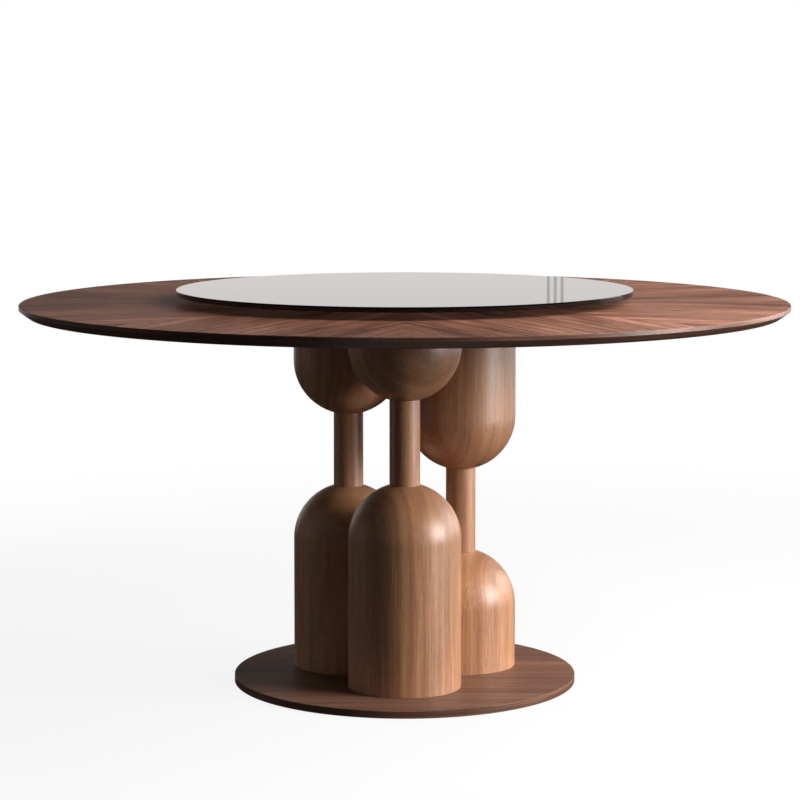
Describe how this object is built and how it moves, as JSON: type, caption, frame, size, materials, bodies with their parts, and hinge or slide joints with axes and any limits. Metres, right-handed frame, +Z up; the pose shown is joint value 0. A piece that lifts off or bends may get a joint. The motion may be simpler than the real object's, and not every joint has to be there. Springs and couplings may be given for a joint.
{
  "type": "dining table with lazy susan",
  "caption": "Round pedestal dining table: veneered top on a cluster of turned legs and a weighted disc base, with a glass lazy susan that spins on a ball race.",
  "frame": {"origin": "on the floor under the middle of the table, on the lazy susan's axis", "axes": "+Z up along the lazy susan's axis, -Y towards the front leg, +X towards the right-hand leg's side"},
  "size_m": [1.4998, 1.4998, 0.775],
  "materials": {
    "walnut_top_veneer": "open-pore satin lacquer over crown-cut and straight walnut veneer",
    "walnut_lipping": "satin lacquered solid walnut",
    "top_core_board": "raw fibre board",
    "backing_veneer": "satin lacquered walnut veneer",
    "black_steel": "black powder coat",
    "zinc_steel": "zinc plated",
    "black_oxide_steel": "black oxide",
    "walnut_turning": "satin lacquered turned walnut",
    "base_board": "raw fibre board",
    "walnut_base_veneer": "open-pore satin lacquer",
    "nylon_glide": "moulded nylon",
    "race_aluminium": "turned and anodised",
    "bearing_steel": "polished",
    "nylon_cage": "moulded nylon",
    "silicone_pad": "clear-to-grey silicone, matte",
    "acrylic_ring": "black acrylic, bonded",
    "black_glass": "polished black tinted tempered glass"
  },
  "bodies": {
    "table": {"tabletop_core": "top_core_board", "tabletop_lipping": "walnut_lipping", "tabletop_veneer_leaves": "walnut_top_veneer", "tabletop_backer": "backing_veneer", "tabletop_inserts": "zinc_steel", "mounting_plate": "black_steel", "mounting_bolts": "black_oxide_steel", "mounting_washers": "black_oxide_steel", "front_leg_lower": "walnut_turning", "front_leg_post": "walnut_turning", "front_leg_upper": "walnut_turning", "left_leg_lower": "walnut_turning", "left_leg_post": "walnut_turning", "left_leg_upper": "walnut_turning", "right_leg_lower": "walnut_turning", "right_leg_post": "walnut_turning", "right_leg_upper": "walnut_turning", "tie_rods": "zinc_steel", "tie_rod_washers": "zinc_steel", "tie_rod_nuts": "zinc_steel", "leg_foot_screws": "zinc_steel", "leg_top_screws": "zinc_steel", "base_disc": "base_board", "base_veneer": "walnut_base_veneer", "base_edge_band": "walnut_base_veneer", "base_ballast_plate": "black_steel", "ballast_screws": "zinc_steel", "floor_glides": "nylon_glide", "susan_fixed_ring": "race_aluminium", "susan_ring_screws": "zinc_steel"},
    "susan_cage": {"susan_balls": "bearing_steel", "susan_ball_cage": "nylon_cage"},
    "susan": {"susan_turning_ring": "race_aluminium", "susan_pads": "silicone_pad", "susan_locating_ring": "acrylic_ring", "susan_glass": "black_glass"}
  },
  "joints": [
    {"name": "susan_spin", "type": "hinge", "parent": "table", "child": "susan", "pos_m": [0, 0, 0.7555], "axis": [0, 0, 1], "continuous": true},
    {"name": "cage_spin", "type": "hinge", "parent": "table", "child": "susan_cage", "pos_m": [0, 0, 0.7555], "axis": [0, 0, 1], "continuous": true}
  ],
  "couplings": [
    {"joint": "cage_spin", "follows": "susan_spin", "ratio": 0.492}
  ]
}
